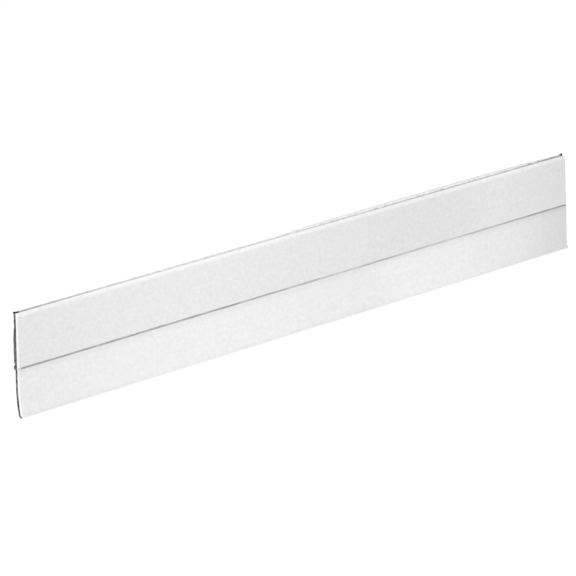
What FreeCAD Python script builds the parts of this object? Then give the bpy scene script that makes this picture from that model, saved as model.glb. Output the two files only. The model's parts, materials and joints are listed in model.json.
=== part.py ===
"""Self-adhesive door sweep: a rigid vinyl carrier with a flexible fin hung from its lower edge.

Every piece is a straight extrusion along X. The front face looks towards -Y, the adhesive back
towards +Y, and +Z is up. The origin is the centre of the band that lies against the door.
The fin's root bead turns in a channel along the carrier's lower edge, and the carrier and the fin
are both drawn about that hinge line. Lengths are in millimetres and angles in degrees.
"""
import FreeCAD, Part
import Sketcher
import math
import os

SIZES = {
    # the whole strip
    "strip_length": 914.4,
    "strip_height": 51.0,
    # layers, from the door outwards
    "liner_thick": 0.1,
    "tape_thick": 0.7,
    "carrier_thick": 1.1,
    # carrier: a flat plate above the hinge line, and the channel rail around that line
    "hinge_drop": 26.8,
    "face_offset": 0.78,
    "front_lip_rise": 0.2,
    "rail_back": 0.92,
    "rail_rise": 1.5,
    "back_lip_angle": 22.0,
    "edge_round": 0.25,
    # fin: root bead, neck, straight blade, the forward curl of its lower part, then its turned lip
    "bead_radius": 0.55,
    "bead_clearance": 0.06,
    "shoulder_drop": 0.75,
    "neck_reach": 0.5,
    "neck_drop": 0.23,
    "fin_thick": 1.0,
    "fin_straight": 8.0,
    "curl_radius": 110.0,
    "lip_radius": 1.0,
    "lip_turn": 60.0,
    # adhesive tape and release liner; both stand a little above the carrier's top edge
    "tape_width": 24.4,
    "tape_stand_up": 0.3,
    "tape_end_gap": 2.5,
    "liner_width": 25.4,
    "liner_stand_up": 0.8,
    "peel_lead": 100.0,
}

doc = FreeCAD.newDocument("door_sweep")
sheet = doc.addObject("Spreadsheet::Sheet", "Sizes")
for row, (alias, value) in enumerate(SIZES.items(), start=1):
    sheet.set(f"A{row}", alias)
    sheet.set(f"B{row}", str(value))
    sheet.setAlias(f"B{row}", alias)
doc.recompute()

# Places that several pieces share, as expressions in the sheet's cells.
BACK_OF_TAPE = "-Sizes.liner_thick"
BACK_OF_CARRIER = "-(Sizes.liner_thick + Sizes.tape_thick)"
HINGE_Y = f"{BACK_OF_CARRIER} - Sizes.carrier_thick + Sizes.face_offset"
TOP_Z = "Sizes.tape_width / 2 - Sizes.tape_stand_up"
HINGE_Z = f"{TOP_Z} - Sizes.hinge_drop"
LINER_Z = f"{TOP_Z} + Sizes.liner_stand_up - Sizes.liner_width / 2"


def new_body(label, x="0", y="0", z="0"):
    """A body whose origin is placed in the strip's frame by three expressions."""
    body = doc.addObject("PartDesign::Body", label)
    body.Label = label
    for axis, place in (("x", x), ("y", y), ("z", z)):
        body.setExpression(f"Placement.Base.{axis}", place)
    return body


def new_section(body, name):
    """An empty sketch across the strip: its first axis runs along Y and its second along Z."""
    sketch = body.newObject("Sketcher::SketchObject", name)
    plane = next(f for f in body.Origin.OriginFeatures if f.Role == "YZ_Plane")
    sketch.AttachmentSupport = [(plane, "")]
    sketch.MapMode = "FlatFace"
    return sketch


def number(sketch, expression):
    """What an expression comes to, without its unit."""
    result = sketch.evalExpression(expression)
    return float(getattr(result, "Value", result))


def bind(sketch, kind, where, expression):
    """Adds a dimension to the sketch and binds it to an expression."""
    datum = number(sketch, expression)
    index = sketch.addConstraint(Sketcher.Constraint(kind, *where, datum))
    sketch.setExpression(f"Constraints[{index}]", expression)


def pin(sketch, edge, end, corner):
    """Holds one end of an edge at a corner, given as two expressions from the sketch's origin."""
    vertical_axis, horizontal_axis = -2, -1
    kinds = (("DistanceX", vertical_axis), ("DistanceY", horizontal_axis))
    for expression, (kind, axis) in zip(corner, kinds):
        if expression == "0":
            sketch.addConstraint(Sketcher.Constraint("PointOnObject", edge, end, axis))
        else:
            bind(sketch, kind, (-1, 1, edge, end), expression)


def arc_between(start, end, radius, clockwise):
    """An arc from start to end. Sketch arcs run anticlockwise, so a clockwise one is stored reversed."""
    chord = end - start
    left = FreeCAD.Vector(-chord.y, chord.x, 0) / chord.Length
    depth = math.sqrt(radius**2 - (chord.Length / 2) ** 2)
    centre = (start + end) / 2 + left * (-depth if clockwise else depth)
    first, last = (end, start) if clockwise else (start, end)
    first_angle = math.atan2(first.y - centre.y, first.x - centre.x)
    last_angle = math.atan2(last.y - centre.y, last.x - centre.x)
    circle = Part.Circle(centre, FreeCAD.Vector(0, 0, 1), radius)
    return Part.ArcOfCircle(circle, first_angle, last_angle)


def draw_outline(sketch, corners, arcs=None):
    """Closes a chain of edges through the corners. arcs maps an edge's number to (radius, clockwise)."""
    arcs = arcs or {}
    points = [
        FreeCAD.Vector(number(sketch, across), number(sketch, up), 0) for across, up in corners
    ]
    count = len(corners)
    ends = []
    for edge in range(count):
        start, end = points[edge], points[(edge + 1) % count]
        if edge in arcs:
            radius, clockwise = arcs[edge]
            shape = arc_between(start, end, number(sketch, radius), clockwise)
            ends.append((2, 1) if clockwise else (1, 2))
        else:
            shape = Part.LineSegment(start, end)
            ends.append((1, 2))
        sketch.addGeometry(shape)
    for edge in range(count):
        following = (edge + 1) % count
        sketch.addConstraint(
            Sketcher.Constraint("Coincident", edge, ends[edge][1], following, ends[following][0])
        )
    for edge in range(count):
        pin(sketch, edge, ends[edge][0], corners[edge])
        if edge in arcs:
            bind(sketch, "Radius", (edge,), arcs[edge][0])


def draw_circle(sketch, radius):
    """A circle about the sketch's origin."""
    circle = Part.Circle(FreeCAD.Vector(0, 0, 0), FreeCAD.Vector(0, 0, 1), number(sketch, radius))
    edge = sketch.addGeometry(circle)
    sketch.addConstraint(Sketcher.Constraint("Coincident", edge, 3, -1, 1))
    bind(sketch, "Radius", (edge,), radius)


def pad(body, name, sketch, length="Sizes.strip_length"):
    """Extrudes a section along the strip, half to each side of the body's origin."""
    feature = body.newObject("PartDesign::Pad", name)
    feature.Profile = sketch
    feature.SideType = "Symmetric"
    feature.setExpression("Length", length)
    sketch.Visibility = False
    return feature


def pocket(body, name, sketch):
    """Cuts a section out of the whole length of the strip."""
    feature = body.newObject("PartDesign::Pocket", name)
    feature.Profile = sketch
    feature.SideType = "Symmetric"
    feature.setExpression("Length", "2 * Sizes.strip_length")
    sketch.Visibility = False
    return feature


def round_edges(body, name, base, wanted):
    """Rounds the edges of base whose midpoints satisfy wanted(x, y, z)."""
    doc.recompute()
    found = []
    for index, edge in enumerate(base.Shape.Edges, start=1):
        middle = edge.valueAt((edge.FirstParameter + edge.LastParameter) / 2)
        if wanted(middle.x, middle.y, middle.z):
            found.append(f"Edge{index}")
    feature = body.newObject("PartDesign::Fillet", name)
    feature.Base = (base, found)
    feature.setExpression("Radius", "Sizes.edge_round")
    return feature


def near(a, b):
    return abs(a - b) < 1e-4


def make_carrier():
    """Flat plate above the hinge line, with a C-shaped channel for the fin's bead at its foot."""
    body = new_body("carrier_strip", y=HINGE_Y, z=HINGE_Z)
    front = "-Sizes.face_offset"
    plate_back = "Sizes.carrier_thick - Sizes.face_offset"
    shoulder = f"Sizes.rail_rise + Sizes.rail_back - ({plate_back})"
    outline = new_section(body, "carrier_outline")
    draw_outline(
        outline,
        [
            (front, "Sizes.front_lip_rise"),
            (front, "Sizes.hinge_drop"),
            (plate_back, "Sizes.hinge_drop"),
            (plate_back, shoulder),
            ("Sizes.rail_back", "Sizes.rail_rise"),
            ("Sizes.rail_back", "-Sizes.rail_back * tan(Sizes.back_lip_angle)"),
            ("0", "0"),
            ("0", "Sizes.front_lip_rise"),
        ],
    )
    pad(body, "carrier_pad", outline)
    channel = new_section(body, "channel_circle")
    draw_circle(channel, "Sizes.bead_radius + Sizes.bead_clearance")
    cut = pocket(body, "channel_pocket", channel)

    half_length = SIZES["strip_length"] / 2
    front_y = -SIZES["face_offset"]
    top_z = SIZES["hinge_drop"]

    def rounded(x, y, z):
        top_edge = near(x, 0) and near(z, top_z)
        cut_end_edge = near(abs(x), half_length) and near(y, front_y)
        return top_edge or cut_end_edge

    round_edges(body, "carrier_rounds", cut, rounded)
    return body


def make_fin():
    """Root bead, short neck, straight blade, a gentle forward curl, and a lip turned further."""
    body = new_body("sweep_fin", y=HINGE_Y, z=HINGE_Z)
    bead = new_section(body, "bead_circle")
    draw_circle(bead, "Sizes.bead_radius")
    pad(body, "bead_pad", bead)

    front = "-Sizes.face_offset"
    back = "Sizes.fin_thick - Sizes.face_offset"
    curl_back = "(Sizes.curl_radius + Sizes.fin_thick)"
    lip_back = "(Sizes.lip_radius + Sizes.fin_thick)"
    curl_drop = "(Sizes.strip_height - Sizes.hinge_drop - Sizes.fin_straight)"
    centres_apart = "(Sizes.curl_radius - Sizes.lip_radius)"
    curl = f"asin(({curl_drop} - {lip_back} * sin(Sizes.lip_turn)) / {centres_apart})"
    curl_centre = ("(-Sizes.face_offset - Sizes.curl_radius)", "(-Sizes.fin_straight)")

    def beside(centre, radius, turn):
        """The place at a radius from a centre, turned forwards and down from straight back."""
        return f"{centre[0]} + {radius} * cos({turn})", f"{centre[1]} - {radius} * sin({turn})"

    lip_centre = beside(curl_centre, centres_apart, curl)
    blade = new_section(body, "blade_outline")
    draw_outline(
        blade,
        [
            (front, "-Sizes.shoulder_drop"),
            (front, "-Sizes.fin_straight"),
            beside(curl_centre, "Sizes.curl_radius", curl),
            beside(lip_centre, "Sizes.lip_radius", "Sizes.lip_turn"),
            beside(lip_centre, lip_back, "Sizes.lip_turn"),
            beside(curl_centre, curl_back, curl),
            (back, "-Sizes.fin_straight"),
            (back, "-Sizes.neck_drop"),
            ("-Sizes.neck_reach", "-Sizes.neck_drop"),
        ],
        arcs={
            1: ("Sizes.curl_radius", True),
            2: ("Sizes.lip_radius", True),
            4: (lip_back, False),
            5: (curl_back, False),
        },
    )
    blade_pad = pad(body, "blade_pad", blade)

    half_length = SIZES["strip_length"] / 2
    front_y = -SIZES["face_offset"]
    shoulder_z = -SIZES["shoulder_drop"]
    lip_z = SIZES["hinge_drop"] - SIZES["strip_height"] + SIZES["fin_thick"]

    def rounded(x, y, z):
        shoulder_edge = near(x, 0) and near(y, front_y) and near(z, shoulder_z)
        lip_edge = near(x, 0) and z < lip_z
        return shoulder_edge or lip_edge

    round_edges(body, "fin_rounds", blade_pad, rounded)
    return body


def make_layer(label, thick, width, length, x="0", y="0", z="0"):
    """A flat layer of the adhesive back, placed by the middle of its rear face."""
    body = new_body(label, x, y, z)
    section = new_section(body, f"{label}_section")
    draw_outline(
        section,
        [
            (f"-{thick}", f"-{width} / 2"),
            (f"-{thick}", f"{width} / 2"),
            ("0", f"{width} / 2"),
            ("0", f"-{width} / 2"),
        ],
    )
    pad(body, f"{label}_pad", section, length)
    return body


def make_tape():
    """Double-sided foam tape between the carrier and the liner, a little short of both cut ends."""
    return make_layer(
        "foam_tape",
        "Sizes.tape_thick",
        "Sizes.tape_width",
        "Sizes.strip_length - 2 * Sizes.tape_end_gap",
        y=BACK_OF_TAPE,
    )


def make_liner():
    """Release liner, all but the lead end that is folded back first when it is peeled."""
    return make_layer(
        "release_liner",
        "Sizes.liner_thick",
        "Sizes.liner_width",
        "Sizes.strip_length - Sizes.peel_lead - Sizes.tape_end_gap",
        x="(Sizes.peel_lead - Sizes.tape_end_gap) / 2",
        z=LINER_Z,
    )


def make_liner_lead():
    """The lead end of the same liner, up to the fold where the peel starts."""
    return make_layer(
        "liner_lead",
        "Sizes.liner_thick",
        "Sizes.liner_width",
        "Sizes.peel_lead - Sizes.tape_end_gap",
        x="(Sizes.peel_lead + Sizes.tape_end_gap - Sizes.strip_length) / 2",
        z=LINER_Z,
    )


sub_parts = [make_carrier(), make_fin(), make_tape(), make_liner(), make_liner_lead()]
doc.recompute()

for made in doc.Objects:
    if "Invalid" in made.State or "Error" in made.State:
        raise RuntimeError(f"{made.Name} failed to build: {made.State}")
for sub_part in sub_parts:
    shape = sub_part.Shape
    if shape.isNull() or not shape.isValid() or len(shape.Solids) != 1:
        raise RuntimeError(f"{sub_part.Label} isn't one valid solid")

channel_area = math.pi * (SIZES["bead_radius"] + SIZES["bead_clearance"]) ** 2
before_cut = doc.getObject("carrier_pad").Shape.Volume
after_cut = doc.getObject("channel_pocket").Shape.Volume
if not 0.3 < (before_cut - after_cut) / (channel_area * SIZES["strip_length"]) < 0.8:
    raise RuntimeError("the channel wasn't cut to its size")

os.makedirs("parts", exist_ok=True)
for sub_part in sub_parts:
    sub_part.Shape.exportStep(f"parts/{sub_part.Label}.step")
    box = sub_part.Shape.BoundBox
    print(
        f"{sub_part.Label}: {sub_part.Shape.Volume:.1f} mm3,"
        f" X {box.XMin:.2f} to {box.XMax:.2f},"
        f" Y {box.YMin:.2f} to {box.YMax:.2f},"
        f" Z {box.ZMin:.2f} to {box.ZMax:.2f}"
    )
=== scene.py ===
"""Looks of a white self-adhesive door sweep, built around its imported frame, in metres."""
import json
import math
from collections import namedtuple

import bmesh
import bpy
import numpy as np
from mathutils import Matrix, Vector, noise


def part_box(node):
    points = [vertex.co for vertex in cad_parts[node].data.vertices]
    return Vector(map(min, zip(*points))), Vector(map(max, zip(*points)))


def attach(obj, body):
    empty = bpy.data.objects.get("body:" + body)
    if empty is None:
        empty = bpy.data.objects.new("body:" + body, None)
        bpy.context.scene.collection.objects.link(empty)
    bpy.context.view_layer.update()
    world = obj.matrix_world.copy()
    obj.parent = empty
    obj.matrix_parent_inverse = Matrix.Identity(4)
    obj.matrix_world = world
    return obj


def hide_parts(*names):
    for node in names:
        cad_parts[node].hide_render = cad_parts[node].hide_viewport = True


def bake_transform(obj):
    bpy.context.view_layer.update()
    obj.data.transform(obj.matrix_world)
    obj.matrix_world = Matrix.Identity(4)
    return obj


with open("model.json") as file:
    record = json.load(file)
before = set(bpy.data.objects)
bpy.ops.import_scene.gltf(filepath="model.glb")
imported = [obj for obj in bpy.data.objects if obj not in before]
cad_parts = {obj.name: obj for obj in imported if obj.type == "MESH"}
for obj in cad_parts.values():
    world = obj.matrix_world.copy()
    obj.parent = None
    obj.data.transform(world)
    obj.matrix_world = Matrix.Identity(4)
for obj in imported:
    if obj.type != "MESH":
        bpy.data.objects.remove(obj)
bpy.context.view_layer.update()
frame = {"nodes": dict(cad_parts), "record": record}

MM = 0.001

# ---------------------------------------------------------------- places, read from the frame
# X runs along the strip, Y from its front face to the door, and Z upwards
CARRIER_LOW, CARRIER_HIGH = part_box("carrier_strip")
FIN_LOW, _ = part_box("sweep_fin")
TAPE_LOW, TAPE_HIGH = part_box("foam_tape")
LINER_LOW, LINER_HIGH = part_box("release_liner")
LEAD_LOW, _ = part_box("liner_lead")
HINGES = {j["name"]: Vector(j["pos_m"]) for j in frame["record"]["behaviour"]["joints"]}
HINGE = HINGES["fin_flex"]
FOLD = HINGES["liner_peel"]
LEFT_END, RIGHT_END = CARRIER_LOW.x, CARRIER_HIGH.x
FRONT_FACE = CARRIER_LOW.y

# ---------------------------------------------------------------- the camera's place
CAMERA_AZIMUTH, CAMERA_ELEVATION, CAMERA_ROLL = -71.80, 5.11, -1.58  # in degrees
CAMERA_TARGET = Vector((-0.0351, FRONT_FACE, HINGE.z - 0.1 * MM))
CAMERA_DISTANCE = 6.830
CAMERA_LENS = 831.6  # in mm, as Blender takes it

# ---------------------------------------------------------------- the fin's section, as it is made
FIN_THICK = 1.0 * MM
BEAD_RADIUS = 0.55 * MM
BEAD_STEPS = 28
SHOULDER_DROP = 0.75 * MM
SHOULDER_ROUND = 0.22 * MM
NECK_REACH, NECK_DROP = 0.5 * MM, 0.23 * MM
# how far below the hinge the blade's flat faces start, and where they turn into its curl
FRONT_STARTS, BACK_STARTS = 1.4 * MM, 0.9 * MM
FIN_STRAIGHT = 8.0 * MM
FRONT_STEPS, BACK_STEPS = 15, 16
CURL_RADIUS = 110.0 * MM
CURL_STEPS = 20
LIP_RADIUS = 1.0 * MM
LIP_TURN = 60.0
LIP_STEPS = 8
CUT_END_ROUND = 0.06 * MM

# ---------------------------------------------------------------- how the fin strays from straight
# it keeps still near the hinge, and each wave of its ripple has a share, a wavelength and a phase
FIN_STILL = 2 * MM
FIN_RIPPLE = 0.12 * MM
FIN_WAVES = ((0.6, 0.31, 0.7), (0.4, 0.127, 2.1))
# how much straighter it hangs at the far end, and the place along the strip where that starts
FIN_STRAIGHTER = 1.5 * MM
STRAIGHTER_FROM = 0.05

# ---------------------------------------------------------------- how the tape strays from straight
# how many points it has across, up and along
TAPE_ACROSS, TAPE_UP, TAPE_STATIONS = 5, 13, 900
# its edges are the outer tenth of its half height
EDGE_STARTS, EDGE_SHARE = 0.9, 0.1
# how far its long edges shift, in mm: by coarse noise, by fine noise, and evenly inwards
COARSE_RAG, FINE_RAG, RAG_INWARD = 0.6, 0.15, 0.1
# how far its upper edge rises, in mm: at the cuts, towards them, and past the middle
CORNER_RISE, CUT_RISE, FAR_RISE = 0.4, 0.2, 0.13
CORNER_REACH, CUT_REACH = 5 * MM, 0.06
FAR_RISE_FROM, FAR_RISE_OVER = -0.02, 0.08
# how far it is squeezed out towards the cuts: its upper corners, and its lower part (in mm)
SQUEEZE_REACH = 4 * MM
CORNER_SQUEEZE = 1.5 * MM
LOWER_SQUEEZE, LOWER_SQUEEZE_NOISE = 1.9, 0.9
LOWER_SQUEEZE_TOP = 7 * MM

# ---------------------------------------------------------------- the liner's free edge and fold
# how far the edge rises (mm) at places along the strip, less a constant drop, with some noise
LINER_RISE_AT = (-0.05, 0.02, 0.12, 0.30, 0.38, 0.455)
LINER_RISE = (0.3, 1.25, 1.5, 1.55, 1.2, 0.4)
LINER_DROP, LINER_RAG = 0.55, 0.2
# the height that comes free below the tape's top, and the height of the cut edge
LINER_FREE = 2 * MM
LINER_EDGE = 0.3 * MM
# the length of liner that bends where the peel starts
FOLD_LENGTH = 14 * MM
# how many points the sheet has up to its cut edge, and along its lead, its fold and its rest
LINER_UP = 16
LEAD_STATIONS, FOLD_STATIONS, SHEET_STATIONS = 56, 33, 271

# ---------------------------------------------------------------- tone laid on in stretches: painted light and shade on the vinyl, the seam and the foam
# a band starts at one place along its axis, and from another place on it has its whole gain
Band = namedtuple("Band", "axis starts full gain")
# a painted highlight at the near end, painted shade over the far end, a painted highlight along the
# top edge and painted shade just below the seam
NEAR_END_HIGHLIGHT = (LEFT_END + 4 * MM, LEFT_END + 1.5 * MM)
FAR_END_SHADE = (RIGHT_END - 130 * MM, RIGHT_END + 40 * MM)
TOP_EDGE_HIGHLIGHT = (CARRIER_HIGH.z - 2.8 * MM, CARRIER_HIGH.z - 0.9 * MM)
BELOW_SEAM_SHADE = (HINGE.z - 4.8 * MM, HINGE.z - 1.0 * MM)
# painted light and shade on the carrier and the fin: slow lighter and darker stretches along the
# strip, and the places above
RIGID_PAINTED_LIGHT = (
    Band("X", -0.35, 0.05, 0.982),
    Band("X", 0.22, 0.34, 1.045),
    Band("X", *FAR_END_SHADE, 0.90),
    Band("X", *NEAR_END_HIGHLIGHT, 1.28),
    Band("Z", *TOP_EDGE_HIGHLIGHT, 1.16),
)
FLEXIBLE_PAINTED_LIGHT = (
    Band("X", 0.08, 0.16, 1.06),
    Band("X", 0.24, 0.34, 0.96),
    Band("X", *FAR_END_SHADE, 0.79),
    Band("X", *NEAR_END_HIGHLIGHT, 1.2),
    Band("Z", *BELOW_SEAM_SHADE, 0.92),
)
FOAM_BANDS = (
    Band("X", -0.42, -0.26, 1.25),
    Band("X", 0.10, 0.24, 0.9),
    Band("X", 0.36, 0.43, 0.65),
    Band("X", -0.37, -0.44, 0.78),
)
# painted shade on the foam squeezed out at the left end, and on its top near the cuts
FOAM_SQUEEZED_SHADE = Band("X", TAPE_LOW.x + 0.5 * MM, TAPE_LOW.x - 1.0 * MM, 0.55)
FOAM_TOP_SHADE = Band("Z", TAPE_HIGH.z - 2.5 * MM, TAPE_HIGH.z - 0.5 * MM, 0.07)
# where the painted shade on the foam's upper corners starts and is full, at the left cut and at the
# right
FOAM_LEFT_CUT = (TAPE_LOW.x + 7 * MM, TAPE_LOW.x + 4 * MM)
FOAM_RIGHT_CUT = (TAPE_HIGH.x - 4 * MM, TAPE_HIGH.x - 1 * MM)
# where the seam's painted shade turns pale, where it turns dark again, and where it is palest:
# painted light and shade along the strip
SEAM_PALE, SEAM_DARK = (-0.20, 0.04), (0.24, 0.43)
SEAM_PALEST = (LEFT_END + 9 * MM, LEFT_END + 2 * MM)


# ---------------------------------------------------------------- camera
def make_camera():
    """Long-lens camera low in front of the strip's near end, looking along it."""
    azimuth, elevation = math.radians(CAMERA_AZIMUTH), math.radians(CAMERA_ELEVATION)
    back = Vector(
        (
            math.sin(azimuth) * math.cos(elevation),
            -math.cos(azimuth) * math.cos(elevation),
            math.sin(elevation),
        )
    )
    data = bpy.data.cameras.new("camera")
    data.lens = CAMERA_LENS
    data.sensor_width = 36.0
    data.clip_start, data.clip_end = 0.1, 200.0
    camera = bpy.data.objects.new("camera", data)
    bpy.context.scene.collection.objects.link(camera)
    place = Matrix.Translation(CAMERA_TARGET + back * CAMERA_DISTANCE)
    level = (-back).to_track_quat("-Z", "Y").to_matrix().to_4x4()
    camera.matrix_world = place @ level @ Matrix.Rotation(math.radians(CAMERA_ROLL), 4, "Z")
    bpy.context.scene.camera = camera


# ---------------------------------------------------------------- floor and light
def make_stage():
    """A wide pale floor well below the strip, a white surround and two soft lamps."""
    scene = bpy.context.scene
    scene.view_settings.view_transform = "Standard"

    floor_drop = 0.30
    half = 60.0
    z = FIN_LOW.z - floor_drop
    mesh = bpy.data.meshes.new("floor")
    mesh.from_pydata(
        [(-half, -half, z), (half, -half, z), (half, half, z), (-half, half, z)], [], [(0, 1, 2, 3)]
    )
    floor = bpy.data.objects.new("floor", mesh)
    scene.collection.objects.link(floor)
    material, _, shader = new_material("floor_pale", grey(0.94), 0.9)
    shader.inputs["Specular IOR Level"].default_value = 0.1
    mesh.materials.append(material)

    world = bpy.data.worlds.new("surround")
    scene.world = world
    world.use_nodes = True
    background = world.node_tree.nodes["Background"]
    background.inputs["Color"].default_value = (1, 1, 1, 1)
    background.inputs["Strength"].default_value = 1.08

    add_lamp("key", place=(-0.18, -0.34, 0.07), target=(-0.16, 0, 0), watts=0.225)
    add_lamp("fill", place=(0.32, -0.34, 0.0), target=(0.30, 0, -0.01), watts=0.035)


def add_lamp(name, place, target, watts):
    """A wide soft lamp in front of the strip, itself unseen."""
    data = bpy.data.lights.new(name, "AREA")
    data.shape = "RECTANGLE"
    data.size, data.size_y = 0.30, 0.15
    data.energy = watts
    lamp = bpy.data.objects.new(name, data)
    bpy.context.scene.collection.objects.link(lamp)
    lamp.location = place
    lamp.rotation_mode = "QUATERNION"
    lamp.rotation_quaternion = (Vector(target) - Vector(place)).to_track_quat("-Z", "Y")
    lamp.visible_camera = False


# ---------------------------------------------------------------- material helpers
def grey(tone):
    """A grey of one tone."""
    return (tone, tone, tone)


def new_material(name, color, roughness):
    """A plain material, its node tree and its shader, ready for detail."""
    material = bpy.data.materials.new(name)
    material.use_nodes = True
    tree = material.node_tree
    shader = tree.nodes["Principled BSDF"]
    shader.inputs["Base Color"].default_value = (*color, 1)
    shader.inputs["Roughness"].default_value = roughness
    return material, tree, shader


def stretched_noise(tree, cycles, detail=3.0):
    """Noise in the object's own space, with its cycles per metre along X, Y and Z."""
    where = tree.nodes.new("ShaderNodeTexCoord")
    mapping = tree.nodes.new("ShaderNodeMapping")
    mapping.inputs["Scale"].default_value = cycles
    texture = tree.nodes.new("ShaderNodeTexNoise")
    texture.inputs["Scale"].default_value = 1.0
    texture.inputs["Detail"].default_value = detail
    tree.links.new(where.outputs["Object"], mapping.inputs["Vector"])
    tree.links.new(mapping.outputs["Vector"], texture.inputs["Vector"])
    return texture.outputs["Fac"]


def ramp_between(tree, factor, low, high, stops=(0.3, 0.7)):
    """A ramp from one colour at the first stop of the factor to another at the second."""
    ramp = tree.nodes.new("ShaderNodeValToRGB")
    for element, stop, color in zip(ramp.color_ramp.elements, stops, (low, high)):
        element.position = stop
        element.color = (*color, 1)
    tree.links.new(factor, ramp.inputs["Fac"])
    return ramp.outputs["Color"]


def add_bump(tree, shader, height, distance):
    """Bumps the surface by a height field, its full swing given in metres."""
    bump = tree.nodes.new("ShaderNodeBump")
    bump.inputs["Distance"].default_value = distance
    bump.inputs["Strength"].default_value = 1.0
    tree.links.new(height, bump.inputs["Height"])
    tree.links.new(bump.outputs["Normal"], shader.inputs["Normal"])


def facing_x(tree):
    """1 on the sawn end faces, which take painted shade, 0 on the long faces."""
    long_face, end_face = 0.8, 0.97
    geometry = tree.nodes.new("ShaderNodeNewGeometry")
    split = tree.nodes.new("ShaderNodeSeparateXYZ")
    size = tree.nodes.new("ShaderNodeMath")
    size.operation = "ABSOLUTE"
    step = tree.nodes.new("ShaderNodeMapRange")
    step.inputs["From Min"].default_value = long_face
    step.inputs["From Max"].default_value = end_face
    tree.links.new(geometry.outputs["True Normal"], split.inputs["Vector"])
    tree.links.new(split.outputs["X"], size.inputs[0])
    tree.links.new(size.outputs[0], step.inputs["Value"])
    return step.outputs["Result"]


def rise_along(tree, axis, starts, full):
    """0 where it starts along an axis, rising smoothly to 1 where it is full."""
    where = tree.nodes.new("ShaderNodeTexCoord")
    split = tree.nodes.new("ShaderNodeSeparateXYZ")
    step = tree.nodes.new("ShaderNodeMapRange")
    step.interpolation_type = "SMOOTHSTEP"
    step.inputs["From Min"].default_value = starts
    step.inputs["From Max"].default_value = full
    tree.links.new(where.outputs["Object"], split.inputs["Vector"])
    tree.links.new(split.outputs[axis], step.inputs["Value"])
    return step.outputs["Result"]


def mix_colors(tree, factor, first, second):
    """The first colour where the factor is 0, and the second where it is 1."""
    mix = tree.nodes.new("ShaderNodeMix")
    mix.data_type = "RGBA"
    tree.links.new(factor, mix.inputs["Factor"])
    tree.links.new(first, mix.inputs["A"])
    tree.links.new(second, mix.inputs["B"])
    return mix.outputs["Result"]


def add_band(tree, color, band):
    """The colour as it was outside a band of tone, and times the band's gain where it is full."""
    mix = tree.nodes.new("ShaderNodeMix")
    mix.data_type = "RGBA"
    mix.blend_type = "MULTIPLY"
    tree.links.new(rise_along(tree, band.axis, band.starts, band.full), mix.inputs["Factor"])
    tree.links.new(color, mix.inputs["A"])
    mix.inputs["B"].default_value = (*grey(band.gain), 1)
    return mix.outputs["Result"]


# ---------------------------------------------------------------- materials
def vinyl(name, light, dark, end_shade, roughness, painted_light_bands):
    """White extruded vinyl: a mottled grain and slow waves, with painted light and shade laid on in
    stretches, and painted shade on its sawn end faces.
    """
    material, tree, shader = new_material(name, grey(light), roughness)
    mottle = stretched_noise(tree, (190.0, 600.0, 520.0), detail=5.0)
    face = ramp_between(tree, mottle, grey(dark), grey(light))
    for band in painted_light_bands:
        face = add_band(tree, face, band)
    saw = stretched_noise(tree, (300.0, 900.0, 420.0))
    # the sawn end faces get painted shade: a dark grey from the end's shade tone, mottled by saw
    # marks
    end = ramp_between(tree, saw, grey(0.1 * end_shade), grey(3.1 * end_shade), (0.40, 0.60))
    color = mix_colors(tree, facing_x(tree), face, end)
    tree.links.new(color, shader.inputs["Base Color"])
    die_lines = stretched_noise(tree, (4.0, 1500.0, 1500.0))
    waves = stretched_noise(tree, (9.0, 40.0, 40.0), detail=1.0)
    wave_height = 6.0  # in heights of a die line
    together = tree.nodes.new("ShaderNodeMath")
    together.operation = "MULTIPLY_ADD"
    together.inputs[1].default_value = wave_height
    tree.links.new(waves, together.inputs[0])
    tree.links.new(die_lines, together.inputs[2])
    add_bump(tree, shader, together.outputs[0], 0.012 * MM)
    return material


def seam_painted_shade():
    """Painted shade of the seam groove, laid on the fin's root as a grey: lighter and darker along
    the strip as painted light and shade, palest at the left cut.
    """
    material, tree, shader = new_material("seam_shade_grey", (0.3, 0.3, 0.31), 0.6)
    mottle = stretched_noise(tree, (45.0, 900.0, 900.0))
    dark = ramp_between(tree, mottle, (0.19, 0.19, 0.205), (0.42, 0.42, 0.43))
    pale = ramp_between(tree, mottle, (0.34, 0.34, 0.35), (0.62, 0.62, 0.63))
    palest = ramp_between(tree, mottle, grey(0.60), grey(0.78))
    color = mix_colors(tree, rise_along(tree, "X", *SEAM_PALE), dark, pale)
    color = mix_colors(tree, rise_along(tree, "X", *SEAM_DARK), color, dark)
    color = mix_colors(tree, rise_along(tree, "X", *SEAM_PALEST), color, palest)
    tree.links.new(color, shader.inputs["Base Color"])
    add_bump(tree, shader, mottle, 0.01 * MM)
    return material


def foam():
    """Grey closed-cell foam, with painted shade at its upper corners and where its left end is
    squeezed out.
    """
    material, tree, shader = new_material("foam_grey", (0.5, 0.5, 0.51), 0.95)
    cells_per_metre = 4000.0
    where = tree.nodes.new("ShaderNodeTexCoord")
    cells = tree.nodes.new("ShaderNodeTexVoronoi")
    cells.inputs["Scale"].default_value = cells_per_metre
    tree.links.new(where.outputs["Object"], cells.inputs["Vector"])
    depth = cells.outputs["Distance"]
    face = ramp_between(tree, depth, (0.68, 0.68, 0.69), (0.43, 0.43, 0.44), (0.1, 0.8))
    for band in FOAM_BANDS:
        face = add_band(tree, face, band)
    # painted shade at the upper corners near both cuts, and on the squeezed-out left end
    shaded_corner = add_band(tree, face, FOAM_TOP_SHADE)
    color = mix_colors(tree, rise_along(tree, "X", *FOAM_LEFT_CUT), face, shaded_corner)
    color = mix_colors(tree, rise_along(tree, "X", *FOAM_RIGHT_CUT), color, shaded_corner)
    color = add_band(tree, color, FOAM_SQUEEZED_SHADE)
    tree.links.new(color, shader.inputs["Base Color"])
    add_bump(tree, shader, depth, 0.15 * MM)
    return material


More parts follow.
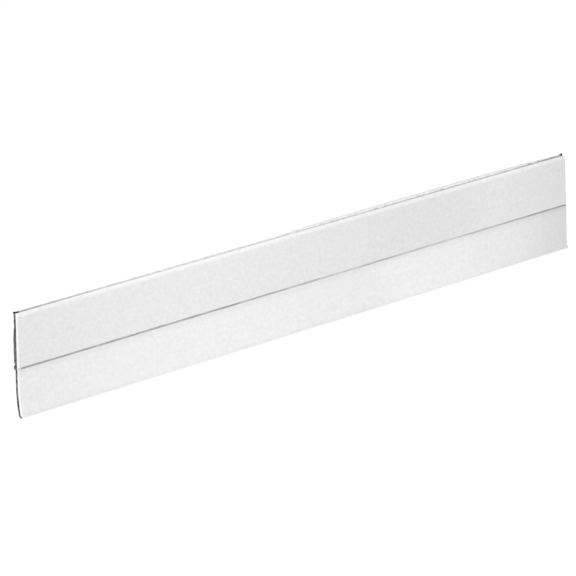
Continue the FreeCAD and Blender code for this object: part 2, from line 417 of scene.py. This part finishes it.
def paper(name, tone):
    """Pale release paper: faint fibres, with the soft gloss of its silicone coat."""
    material, tree, shader = new_material(name, grey(tone), 0.55)
    fibres = stretched_noise(tree, (250.0, 250.0, 900.0), detail=6.0)
    color = ramp_between(tree, fibres, grey(0.92 * tone), grey(1.06 * tone))
    tree.links.new(color, shader.inputs["Base Color"])
    add_bump(tree, shader, fibres, 0.02 * MM)
    return material


# ---------------------------------------------------------------- mesh helpers
def arc(centre, radius, first, last, steps):
    """Points on an arc in the section's plane, angles in degrees from +Y towards +Z."""
    angles = np.radians(np.linspace(first, last, steps))
    return [(centre[0] + radius * math.cos(a), centre[1] + radius * math.sin(a)) for a in angles]


def profile_normals(profile):
    """Outward unit normals at each point of a closed anticlockwise profile."""
    points = np.array(profile)
    along = np.roll(points, -1, axis=0) - np.roll(points, 1, axis=0)
    normals = np.c_[along[:, 1], -along[:, 0]]
    return normals / np.linalg.norm(normals, axis=1)[:, None]


def extrude_profile(name, profile, stations, insets, shape):
    """A closed skin through copies of a profile at the stations, each drawn in by its inset.

    shape takes every vertex and gives them back in their final places.
    """
    points, normals = np.array(profile), profile_normals(profile)
    count = len(points)
    rows = []
    for x, inset in zip(stations, insets):
        ring = points - normals * inset
        rows.append(np.c_[np.full(count, x), ring])
    vertices = shape(np.vstack(rows))
    faces = []
    for row in range(len(stations) - 1):
        for i in range(count):
            j = (i + 1) % count
            a, b = row * count, (row + 1) * count
            faces.append((a + i, b + i, b + j, a + j))
    faces.append(tuple(range(count)))
    faces.append(tuple(reversed(range((len(stations) - 1) * count, len(stations) * count))))
    mesh = bpy.data.meshes.new(name)
    mesh.from_pydata(vertices.tolist(), [], faces)
    mesh.validate()
    mesh.update()
    piece = bpy.data.objects.new(name, mesh)
    bpy.context.scene.collection.objects.link(piece)
    working = bmesh.new()
    working.from_mesh(mesh)
    bmesh.ops.recalc_face_normals(working, faces=working.faces)
    working.to_mesh(mesh)
    working.free()
    for polygon in mesh.polygons:
        polygon.use_smooth = len(polygon.vertices) == 4
    return piece


def end_stations(low, high, round_radius, spacing):
    """Stations along the strip with quarter-round insets at both ends."""
    steps = 5
    turn = np.linspace(0, math.pi / 2, steps)
    edge_x = round_radius * (1 - np.cos(turn))
    edge_inset = round_radius * (1 - np.sin(turn))
    inner = np.arange(low + round_radius + spacing, high - round_radius - spacing / 2, spacing)
    stations = np.r_[low + edge_x, inner, (high - edge_x)[::-1]]
    insets = np.r_[edge_inset, np.zeros(len(inner)), edge_inset[::-1]]
    return stations, insets


def fade(distance, reach):
    """1 at no distance, falling away smoothly over the reach."""
    return math.exp(-((distance / reach) ** 2))


# ---------------------------------------------------------------- fin
def fin_profile():
    """The fin's section about the hinge line, anticlockwise from the bead's back."""
    front, back = FRONT_FACE - HINGE.y, FRONT_FACE - HINGE.y + FIN_THICK
    drop = HINGE.z - FIN_LOW.z - FIN_STRAIGHT - FIN_THICK / 2
    lip_middle = LIP_RADIUS + FIN_THICK / 2
    lip_drop = lip_middle * math.sin(math.radians(LIP_TURN))
    curl = math.degrees(math.asin((drop - lip_drop) / (CURL_RADIUS - LIP_RADIUS)))
    centre = (front - CURL_RADIUS, -FIN_STRAIGHT)
    (lip_centre,) = arc(centre, CURL_RADIUS - LIP_RADIUS, -curl, -curl, 1)
    (lip_end,) = arc(lip_centre, lip_middle, -LIP_TURN, -LIP_TURN, 1)
    bead_join = math.degrees(math.acos(back / BEAD_RADIUS))
    neck_angle = 180 + math.degrees(math.atan2(NECK_DROP, NECK_REACH))
    shoulder_centre = (front + SHOULDER_ROUND, -SHOULDER_DROP - SHOULDER_ROUND)

    bead = arc((0, 0), BEAD_RADIUS, -bead_join, neck_angle, BEAD_STEPS)
    shoulder = arc(shoulder_centre, SHOULDER_ROUND, 120, 180, 5)
    down = np.linspace(-FRONT_STARTS, -FIN_STRAIGHT, FRONT_STEPS)[:-1]
    up = np.linspace(-FIN_STRAIGHT, -BACK_STARTS, BACK_STEPS)[1:]
    front_curl = arc(centre, CURL_RADIUS, 0, -curl, CURL_STEPS)
    lip_front = arc(lip_centre, LIP_RADIUS, -curl, -LIP_TURN, LIP_STEPS)[1:]
    lip_tip = arc(lip_end, FIN_THICK / 2, -LIP_TURN - 180, -LIP_TURN, LIP_STEPS + 1)[1:-1]
    lip_back = arc(lip_centre, LIP_RADIUS + FIN_THICK, -LIP_TURN, -curl, LIP_STEPS)
    back_curl = arc(centre, CURL_RADIUS + FIN_THICK, -curl, 0, CURL_STEPS)[1:]
    blade_front = shoulder + [(front, z) for z in down] + front_curl + lip_front
    blade_back = lip_back + back_curl + [(back, z) for z in up]
    return bead + blade_front + lip_tip + blade_back


def make_fin(blade_material, seam_shade_material):
    """The flexible fin, rippled a little towards its lip and hanging straighter at the far end."""
    profile = [(HINGE.y + y, HINGE.z + z) for y, z in fin_profile()]
    stations, insets = end_stations(LEFT_END, RIGHT_END, CUT_END_ROUND, spacing=6 * MM)

    def ripple(vertices):
        x, z = vertices[:, 0], vertices[:, 2]
        below = np.clip((HINGE.z - FIN_STILL - z) / (HINGE.z - FIN_LOW.z), 0, 1)
        wave = sum(
            share * np.sin(x * 2 * math.pi / length + phase) for share, length, phase in FIN_WAVES
        )
        far = np.clip((x - STRAIGHTER_FROM) / (RIGHT_END - STRAIGHTER_FROM), 0, 1) ** 2
        vertices[:, 1] += (FIN_RIPPLE * wave + FIN_STRAIGHTER * far) * below**2
        return vertices

    fin = extrude_profile("fin_blade", profile, stations, insets, ripple)
    fin.data.materials.append(blade_material)
    fin.data.materials.append(seam_shade_material)
    # the bead's faces, seen in the seam groove, take the grey of the seam's painted shade
    for polygon in fin.data.polygons:
        if len(polygon.vertices) == 4 and polygon.index % len(profile) < BEAD_STEPS:
            polygon.material_index = 1
    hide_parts("sweep_fin")
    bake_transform(fin)


# ---------------------------------------------------------------- foam tape
def make_tape(material):
    """The foam core, squeezed out towards the cuts, with ragged long edges.

    The upper edge shows above the carrier.
    """
    y_low, y_high, z_low, z_high = TAPE_LOW.y, TAPE_HIGH.y, TAPE_LOW.z, TAPE_HIGH.z
    across = np.linspace(y_low, y_high, TAPE_ACROSS)[1:-1]
    up = np.linspace(z_low, z_high, TAPE_UP)
    profile = (
        [(y_low, z) for z in up[::-1]]
        + [(y, z_low) for y in across]
        + [(y_high, z) for z in up]
        + [(y, z_high) for y in across[::-1]]
    )
    stations = np.linspace(TAPE_LOW.x, TAPE_HIGH.x, TAPE_STATIONS)
    insets = np.zeros(len(stations))
    middle, half = (z_low + z_high) / 2, (z_high - z_low) / 2
    coarse_cycles, fine_cycles, across_cycles = 120, 400, 2500  # per metre

    def uneven(vertices):
        # the signs give each end, and each long edge, noise of its own
        for v in vertices:
            end, side = np.sign(v[0]), 7.0 * np.sign(v[2])
            coarse = noise.noise(Vector((v[0] * coarse_cycles, 5.0, side)))
            fine = noise.noise(Vector((v[0] * fine_cycles, v[1] * across_cycles, side)))
            rough = noise.noise(Vector((11.0 * end, 0.0, v[2] * fine_cycles)))
            edge = max(0.0, (abs(v[2] - middle) / half - EDGE_STARTS) / EDGE_SHARE)
            to_cut = min(v[0] - TAPE_LOW.x, TAPE_HIGH.x - v[0])
            squeezed = fade(to_cut, SQUEEZE_REACH)
            shift = COARSE_RAG * coarse + FINE_RAG * fine - RAG_INWARD
            lower = np.interp(v[2], (z_low, 0.0, LOWER_SQUEEZE_TOP), (1.0, 1.0, 0.0))
            out = (LOWER_SQUEEZE + LOWER_SQUEEZE_NOISE * rough) * MM * lower * squeezed
            v[0] += end * out
            if v[2] > middle:
                shift += CORNER_RISE * fade(to_cut, CORNER_REACH)
                shift += CUT_RISE * math.exp(-to_cut / CUT_REACH)
                shift += FAR_RISE * np.clip((v[0] - FAR_RISE_FROM) / FAR_RISE_OVER, 0, 1)
                v[0] += end * (CORNER_SQUEEZE * edge * squeezed)
            v[2] += np.sign(v[2] - middle) * edge * shift * MM
        return vertices

    tape = extrude_profile("foam_core", profile, stations, insets, uneven)
    tape.data.materials.append(material)
    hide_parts("foam_tape")
    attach(tape, "carrier")


# ---------------------------------------------------------------- release liner
def make_liner(paper_material, edge_shade_material):
    """One thin sheet over both liner nodes, its free upper edge highest past the middle."""
    y_low, y_high, z_low, z_high = LINER_LOW.y, LINER_HIGH.y, LINER_LOW.z, LINER_HIGH.z
    up = np.append(np.linspace(z_low, z_high - LINER_EDGE, LINER_UP), z_high)
    profile = [(y_low, z) for z in up[::-1]] + [(y_high, z) for z in up]
    stations = np.r_[
        np.linspace(LEAD_LOW.x, FOLD.x - FOLD_LENGTH, LEAD_STATIONS)[:-1],
        np.linspace(FOLD.x - FOLD_LENGTH, FOLD.x, FOLD_STATIONS),
        np.linspace(FOLD.x, LINER_HIGH.x, SHEET_STATIONS)[1:],
    ]
    insets = np.zeros(len(stations))
    free_height = z_high - TAPE_HIGH.z + LINER_FREE
    ragged_cycles = 90  # per metre

    def wavy(vertices):
        for v in vertices:
            free = max(0.0, (v[2] - TAPE_HIGH.z + LINER_FREE) / free_height)
            rise = np.interp(v[0], LINER_RISE_AT, LINER_RISE)
            ragged = noise.noise(Vector((v[0] * ragged_cycles, 3.0, 0.0)))
            v[2] += (rise - LINER_DROP + LINER_RAG * ragged) * MM * min(free, 1.0)
        return vertices

    liner = extrude_profile("liner_sheet", profile, stations, insets, wavy)
    liner.data.materials.append(paper_material)
    liner.data.materials.append(edge_shade_material)
    count = len(profile)
    # the faces of the free cut edge take the darker paper: painted shade along that edge
    for polygon in liner.data.polygons:
        if len(polygon.vertices) == 4 and polygon.index % count in (0, count - 2, count - 1):
            polygon.material_index = 1
    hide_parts("release_liner", "liner_lead")
    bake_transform(liner)


make_camera()
make_stage()
# both vinyls carry painted light and shade along the strip and dark painted shade on their sawn end
# faces
rigid = vinyl("rigid_vinyl", light=0.70, dark=0.63, end_shade=0.05, roughness=0.42, painted_light_bands=RIGID_PAINTED_LIGHT)
flexible = vinyl(
    "flexible_vinyl", light=0.745, dark=0.68, end_shade=0.07, roughness=0.5, painted_light_bands=FLEXIBLE_PAINTED_LIGHT
)
carrier = frame["nodes"]["carrier_strip"]
carrier.data.materials.clear()
carrier.data.materials.append(rigid)
# the fin's root carries the seam's painted shade
make_fin(flexible, seam_painted_shade())
make_tape(foam())
# the liner's cut edge gets a darker paper as painted shade
make_liner(paper("liner_paper", 0.86), paper("liner_edge_shade", 0.64))
